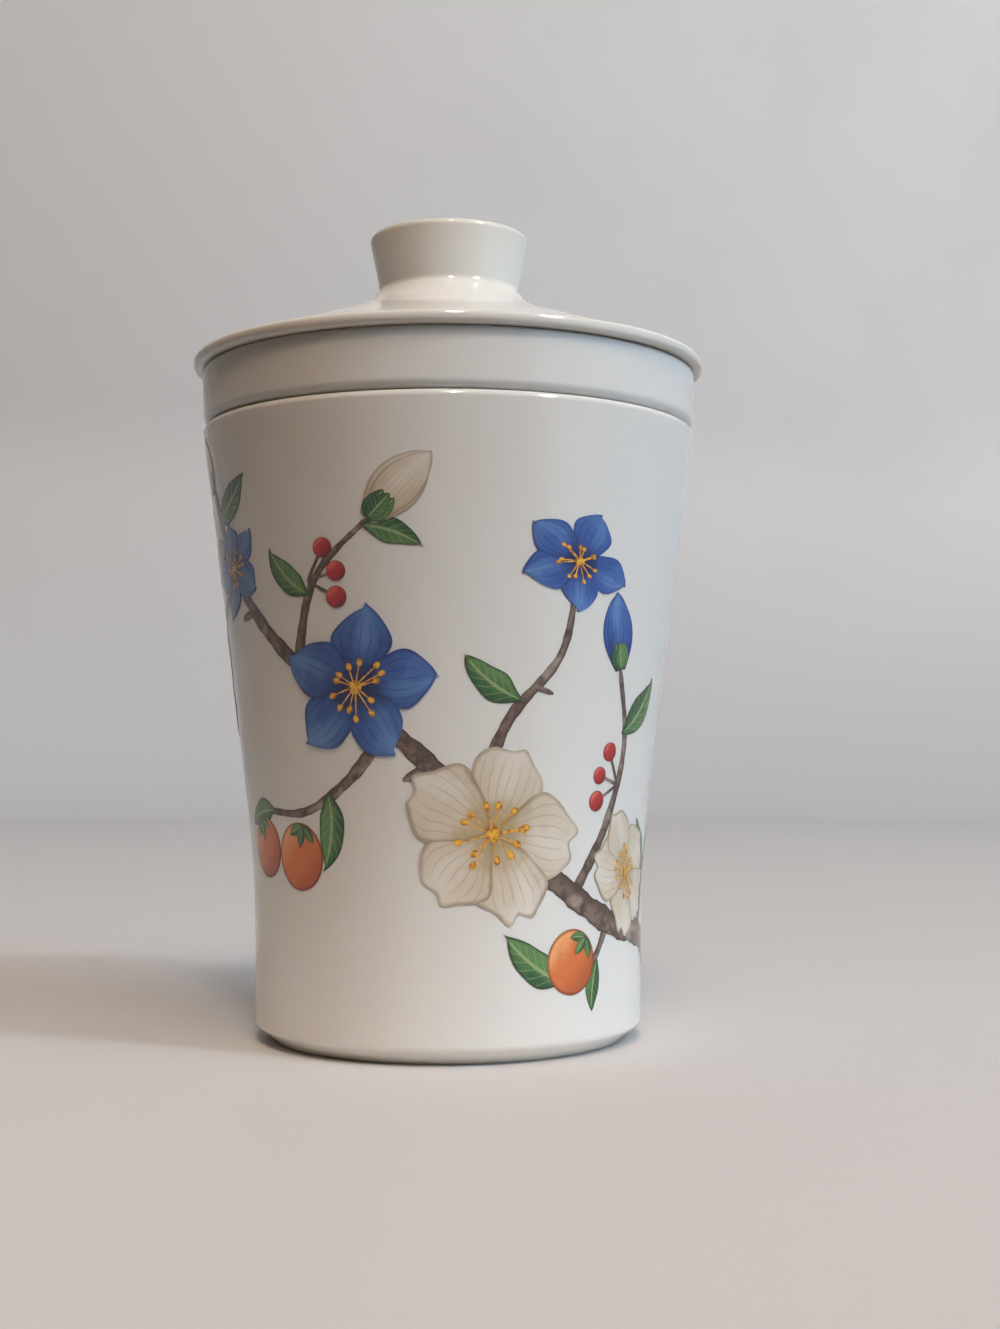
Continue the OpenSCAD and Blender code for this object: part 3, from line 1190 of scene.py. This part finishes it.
BACK_SPRAY: tuple[Motif, ...] = (
    Twig(((64, 84), (78, 74), (90, 62), (104, 54), (118, 42), (132, 34), (146, 20)), 3.8, 1.6),
    Twig(((88, 64), (96, 74), (98, 86)), 1.7, 0.8, 0),
    Twig(((104, 54), (96, 44), (86, 36)), 1.8, 0.8, 0),
    Twig(((120, 41), (132, 48), (140, 60), (140, 72)), 1.9, 0.8, 0),
    Twig(((74, 77), (68, 68), (68, 58)), 1.5, 0.8, 0),
    Leaf((97, 80), 62, 12, -30, 3),
    Leaf((98, 84), -52, 10, 30, 3),
    Leaf((94, 42), 170, 11, 40, 3),
    Leaf((136, 53), 70, 12, -30, 3),
    Leaf((140, 66), -60, 12, 30, 3),
    Leaf((68, 66), -84, 10, -30, 3),
    Leaf((128, 36), 190, 11, -30, 3),
    Leaf((140, 28), 40, 12, 30, 3),
    Fruit((84, 30), 9.4, 20),
    Fruit((93, 31), 8.4, -24, layer=4),
    Fruit((68, 52), 9.0, 4),
    Fruit((147, 16), 8.8, -30),
    Berries((133, 49), -20, 4),
    Berries((70, 64), 100),
    Bud(Bloom.BLUE, (98, 86), 6, 11),
    Bud(Bloom.CREAM, (64, 84), -46, 11),
    Flower(Bloom.CREAM, (122, 42), 13.0, 20, 0.92, 30),
    Flower(Bloom.BLUE, (98, 58), 11.5, 40, 0.95, -20, 15),
    Flower(Bloom.BLUE, (140, 74), 9.5, 12, 0.82, 30),
    Flower(Bloom.CREAM, (78, 72), 10.0, 62, 0.78, -40),
)


WELD_REACH = 0.002 * MM


def soften(node: bpy.types.Object, crisp: float) -> None:
    """Shades the fine bands of a turned piece as one smooth skin, and keeps edges over an angle crisp."""
    weld = node.modifiers.new("join_bands", "WELD")
    weld.merge_threshold = WELD_REACH
    split = node.modifiers.new("keep_edges", "EDGE_SPLIT")
    split.split_angle = math.radians(crisp)
    weighted = node.modifiers.new("even_skin", "WEIGHTED_NORMAL")
    weighted.keep_sharp = True


def dress(node: bpy.types.Object, material: bpy.types.Material, crisp: float = 32.0) -> None:
    """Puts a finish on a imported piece.

    Args:
        node: The piece.
        material: The finish.
        crisp: The angle in degrees from which its edges stay crisp under the glaze.
    """
    node.data.materials.clear()
    node.data.materials.append(material)
    soften(node, crisp)
    LOG.info("dressed %s in %s", node.name, material.name)


@dataclass
class Cup:
    """The cup and the print that is fired on its outside."""

    node: bpy.types.Object
    body: str = "cup"
    slot: str = "cup_glaze"
    foot_bare: float = 0.5 * MM
    white: Colour = paint(213, 212, 210)
    seed: int = 7

    def glaze(self) -> None:
        """Glazes the cup, all but the foot ring that it stood on in the kiln."""
        finish = Porcelain(self.white, foot_bare=self.foot_bare)
        dress(self.node, finish.material("cup_porcelain"))

    def print_flowers(self) -> None:
        """Fires the sprays of flowers on the cup, one piece of film for each ink."""
        wrap = Wrap.round_node(self.node)
        films = {ink: Film(wrap) for ink in Ink}
        rng = random.Random(self.seed)
        for motif in FRONT_SPRAY + BACK_SPRAY:
            motif.draw(films, rng)
        for ink, film in films.items():
            piece = film.build(ink.value)
            piece.data.materials.append(INKS[ink].material(ink.value))
            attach(piece, self.body)
            LOG.info("printed %s: %d shapes", piece.name, len(film.patches))


@dataclass
class Strainer:
    """The collar that rests on the cup, with its perforated basket."""

    node: bpy.types.Object
    white: Colour = paint(216, 216, 215)
    stain: float = 0.35
    stain_reach: float = 0.045

    def glaze(self) -> None:
        """Glazes the strainer, with a trace of tea low in the basket."""
        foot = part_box(self.node.name)[0].z
        finish = Porcelain(self.white, stain=self.stain, stain_foot=foot, stain_reach=self.stain_reach)
        dress(self.node, finish.material("strainer_porcelain"))


@dataclass
class Lid:
    """The lid and the knob that is luted to it."""

    lid: bpy.types.Object
    knob: bpy.types.Object
    white: Colour = paint(214, 212, 207)
    knob_crisp: float = 60.0

    def glaze(self) -> None:
        """Glazes the lid and its knob alike."""
        material = Porcelain(self.white).material("lid_porcelain")
        dress(self.lid, material)
        dress(self.knob, material, self.knob_crisp)


class Reach(Enum):
    """What a lamp's light is seen in."""

    ALL = "all light"
    MATTE = "soft light alone, without a mirror image in the glaze"
    GLOSS = "its mirror image in the glaze alone"


@dataclass(frozen=True)
class Lamp:
    """A soft lamp that looks at the cup."""

    name: str
    bearing: float
    climb: float
    distance: float
    size: float
    power: float
    colour: Colour = (1.0, 1.0, 1.0)
    reach: Reach = Reach.ALL

    def build(self, target: Vector) -> None:
        """Hangs the lamp so that it looks at the target, at its bearing from the front to the right."""
        light = bpy.data.lights.new(self.name, "AREA")
        light.shape = "DISK"
        light.size = self.size
        light.energy = self.power
        light.color = self.colour
        turn, climb = math.radians(self.bearing), math.radians(self.climb)
        way = Vector((math.sin(turn) * math.cos(climb), -math.cos(turn) * math.cos(climb), math.sin(climb)))
        lamp = bpy.data.objects.new(self.name, light)
        lamp.location = target + way * self.distance
        lamp.rotation_mode = "QUATERNION"
        lamp.rotation_quaternion = (-way).to_track_quat("-Z", "Y")
        lamp.visible_camera = False
        lamp.visible_diffuse = self.reach is not Reach.GLOSS
        lamp.visible_glossy = self.reach is not Reach.MATTE
        bpy.context.scene.collection.objects.link(lamp)


@dataclass(frozen=True)
class Camera:
    """The view of the photograph, as fitted to the cup's outlines."""

    distance: float = 0.300
    height: float = 0.0505
    pitch: float = 2.12
    yaw: float = 1.65
    focal_px: float = 1780.0
    long_side_px: float = 1329.0
    sensor_mm: float = 36.0
    near_clip: float = 0.01

    def build(self) -> None:
        """Sets up the scene's camera."""
        data = bpy.data.cameras.new("view")
        data.sensor_width = self.sensor_mm
        data.lens = self.focal_px * self.sensor_mm / self.long_side_px
        data.clip_start = self.near_clip
        camera = bpy.data.objects.new("view", data)
        camera.location = (0.0, -self.distance, self.height)
        camera.rotation_euler = (math.radians(90 + self.pitch), 0.0, math.radians(-self.yaw))
        bpy.context.scene.collection.objects.link(camera)
        bpy.context.scene.camera = camera


@dataclass(frozen=True)
class Studio:
    """A pale floor that sweeps up all round, soft light and the camera."""

    floor_radius: float = 0.70
    sweep_radius: float = 0.28
    wall_top: float = 1.05
    floor_rings: tuple[float, ...] = (0.001, 0.1, 0.3)
    sweep_steps: int = 17
    segments: int = 128
    floor: Colour = paint(197, 198, 202)
    floor_shine: float = 0.05
    floor_roughness: float = 0.42
    grain: float = 0.08
    grain_per_metre: float = 140.0
    # The wall's colour runs from painted shade on the left to painted light on the right.
    wall_left_painted_shade: Colour = paint(186, 183, 181)
    wall_right_painted_light: Colour = paint(234, 238, 244)
    wall_fade: float = 0.6
    cloud: Colour = paint(198, 197, 198)
    cloud_share: float = 0.2
    cloud_per_metre: float = 9.0
    dim_left: Colour = paint(58, 44, 30)
    dim_right: Colour = paint(128, 130, 134)
    dim_way: Point = (0.8, 0.6)
    dim_fade: float = 0.35
    bounce: Colour = paint(233, 232, 231)
    near_floor: float = 0.06
    far_floor: float = 0.16
    sky: Colour = (1.0, 0.86, 0.72)
    sky_strength: float = 0.01
    camera: Camera = Camera()
    SEEN_BY: ClassVar[tuple[str, ...]] = ("Is Camera Ray", "Is Glossy Ray", "Is Transmission Ray")
    lamps: tuple[Lamp, ...] = (
        Lamp("right_lamp", 56.0, 48.0, 1.6, 0.15, 5.0, (0.97, 1.0, 1.0)),
        Lamp("right_glint", 56.0, 48.0, 1.6, 0.16, 90.0, (0.97, 1.0, 1.0), Reach.GLOSS),
        Lamp("front_lamp", 3.0, 57.0, 1.6, 0.14, 4.0, (1.0, 0.92, 0.80)),
        Lamp("front_glint", 3.0, 57.0, 1.6, 0.14, 45.0, (1.0, 0.92, 0.80), Reach.GLOSS),
        Lamp("front_panel", 8.0, 56.0, 1.6, 0.8, 12.0, (1.0, 0.67, 0.40), Reach.MATTE),
        Lamp("right_panel", 60.0, 30.0, 1.7, 1.2, 25.4, (0.60, 0.81, 1.0), Reach.MATTE),
        Lamp("top_panel", -150.0, 78.0, 1.5, 1.5, 7.0, (1.0, 0.97, 0.94), Reach.MATTE),
    )

    def build_floor(self) -> None:
        """Builds the floor and its sweep as one turned sheet."""
        turns = np.linspace(0, np.pi / 2, self.sweep_steps)
        radii = [*self.floor_rings, *(self.floor_radius + self.sweep_radius * np.sin(turns))]
        heights = [*(0.0 for _ in self.floor_rings), *(self.sweep_radius * (1 - np.cos(turns)))]
        radii.append(radii[-1])
        heights.append(self.wall_top)
        angles = np.linspace(0, 2 * np.pi, self.segments, endpoint=False)
        points = [(r * math.cos(a), r * math.sin(a), z) for r, z in zip(radii, heights) for a in angles]
        n = self.segments
        faces = [
            (ring * n + i, ring * n + (i + 1) % n, (ring + 1) * n + (i + 1) % n, (ring + 1) * n + i)
            for ring in range(len(radii) - 1)
            for i in range(n)
        ]
        faces.append(tuple(range(n)))
        mesh = bpy.data.meshes.new("floor")
        mesh.from_pydata(points, [], faces)
        mesh.polygons.foreach_set("use_smooth", np.ones(len(mesh.polygons), dtype=bool))
        floor = bpy.data.objects.new("floor", mesh)
        bpy.context.scene.collection.objects.link(floor)
        floor.data.materials.append(self.floor_material())
        floor.visible_shadow = False
        floor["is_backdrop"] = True

    def floor_material(self) -> bpy.types.Material:
        """Gives the floor a pale satin finish, paints shade on the wall's left and light on its right, and
        dims the light that its far parts throw.
        """
        graph = Graph("pale_floor")
        x, y = graph.x, graph.y
        # Painted shade and light: the wall is made darker to the left and lighter to the right, as light
        # from the right would leave it.
        wall = graph.mix(x.band(-self.wall_fade, self.wall_fade), self.wall_left_painted_shade, self.wall_right_painted_light)
        colour = graph.mix(graph.height.band(0.0, self.sweep_radius), self.floor, wall)
        clouds = graph.noise(self.cloud_per_metre, 3.0).band(0.35, 0.85)
        colour = graph.mix(clouds * self.cloud_share, colour, self.cloud)
        aside = x * self.dim_way[0] + y * self.dim_way[1]
        dim = graph.mix(aside.band(-self.dim_fade, self.dim_fade), self.dim_left, self.dim_right)
        ray = graph.node("ShaderNodeLightPath").outputs
        seen = sum(Value(graph, ray[kind]) for kind in self.SEEN_BY)
        near = ((x * x + y * y) ** 0.5).band(self.far_floor, self.near_floor)
        colour = graph.mix(seen, graph.mix(near, dim, self.bounce), colour)
        rough = self.floor_roughness + graph.noise(self.grain_per_metre, 3.0) * self.grain
        feeds = {"Base Color": colour, "Roughness": rough, "Specular IOR Level": self.floor_shine}
        return graph.surface(feeds)

    def build_light(self, target: Vector) -> None:
        """Hangs the lamps and sets the soft light of the surroundings."""
        for lamp in self.lamps:
            lamp.build(target)
        world = bpy.data.worlds.new("soft_surroundings")
        world.use_nodes = True
        background = world.node_tree.nodes["Background"]
        background.inputs["Color"].default_value = (*self.sky, 1.0)
        background.inputs["Strength"].default_value = self.sky_strength
        bpy.context.scene.world = world

    def build(self, target: Vector) -> None:
        """Sets the whole studio up round a target point."""
        self.build_floor()
        self.build_light(target)
        self.camera.build()
        bpy.context.scene.view_settings.view_transform = "Standard"
        LOG.info("studio: %d lamps", len(self.lamps))


def main() -> None:
    """Builds the dressed cup in its studio, aimed at the middle of the pieces' height."""
    logging.basicConfig(level=logging.INFO, format="%(name)s: %(message)s")
    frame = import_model()
    cad_box = [list(corner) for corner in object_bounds()]
    nodes = frame["nodes"]
    cup = Cup(nodes["cup_body"])
    cup.glaze()
    cup.print_flowers()
    Strainer(nodes["strainer"]).glaze()
    Lid(nodes["lid"], nodes["lid_knob"]).glaze()
    middle = Vector((0.0, 0.0, cad_box[1][2] / 2))
    Studio().build(middle)


if __name__ == "__main__":
    main()
